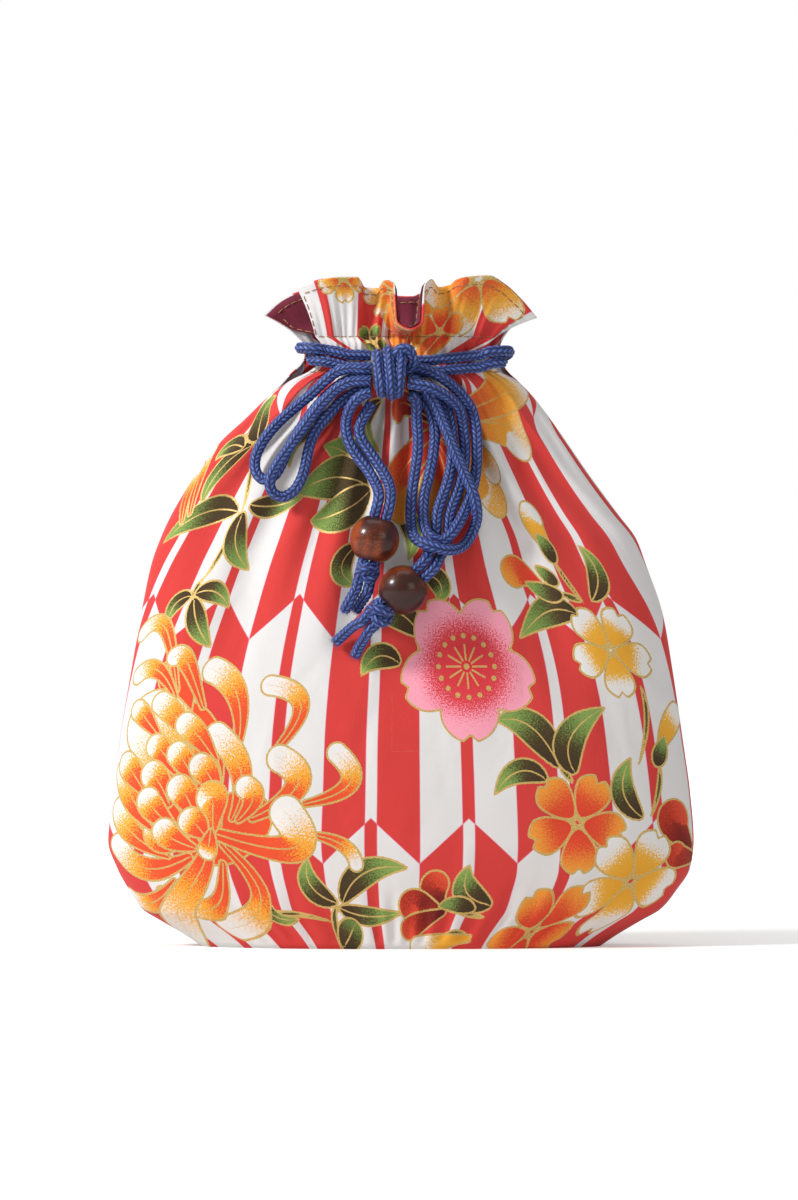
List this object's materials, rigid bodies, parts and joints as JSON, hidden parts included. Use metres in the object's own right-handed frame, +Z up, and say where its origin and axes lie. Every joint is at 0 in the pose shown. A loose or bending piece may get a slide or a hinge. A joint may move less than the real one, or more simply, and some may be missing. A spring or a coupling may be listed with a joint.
{
  "type": "drawstring pouch",
  "caption": "Flat-bottomed lined cloth pouch gathered at the neck by cords tied in a bow, with wooden beads on the cord ends.",
  "frame": {"origin": "centre of the base on the plane that the pouch stands on", "axes": "+Z up to the open mouth, -Y out of the front where the bow is tied, +X to the right seen from the front"},
  "size_m": [0.2113, 0.0765, 0.242],
  "materials": {
    "printed_cotton": "printed plain-weave cotton",
    "lining_cotton": "plain-dyed cotton lining",
    "cord_braid": "braided blue cord",
    "bead_wood": "stained and lacquered"
  },
  "bodies": {
    "pouch": {"outer_front_panel": "printed_cotton", "outer_back_panel": "printed_cotton", "lining_front_panel": "lining_cotton", "lining_back_panel": "lining_cotton", "left_cord_in_casing": "cord_braid", "right_cord_in_casing": "cord_braid", "left_neck_strand_upper": "cord_braid", "left_neck_strand_lower": "cord_braid", "right_neck_strand_upper": "cord_braid", "right_neck_strand_lower": "cord_braid", "left_outer_loop": "cord_braid", "left_inner_loop": "cord_braid", "right_inner_loop": "cord_braid", "right_outer_loop": "cord_braid", "left_pendant_strand_a": "cord_braid", "left_pendant_strand_b": "cord_braid", "right_pendant_strand_a": "cord_braid", "right_pendant_strand_b": "cord_braid", "left_tail_a": "cord_braid", "left_tail_b": "cord_braid", "right_tail_a": "cord_braid", "right_tail_b": "cord_braid", "bow_knot": "cord_braid", "left_end_knot": "cord_braid", "right_end_knot": "cord_braid"},
    "left_bead": {"left_bead": "bead_wood"},
    "right_bead": {"right_bead": "bead_wood"}
  },
  "joints": [
    {"name": "left_bead_slide", "type": "slide", "parent": "pouch", "child": "left_bead", "axis": [0.2419, 0, 0.9703], "range_m": [0, 0.005]},
    {"name": "right_bead_slide", "type": "slide", "parent": "pouch", "child": "right_bead", "axis": [0.7193, 0, 0.6947], "range_m": [0, 0.005]}
  ]
}
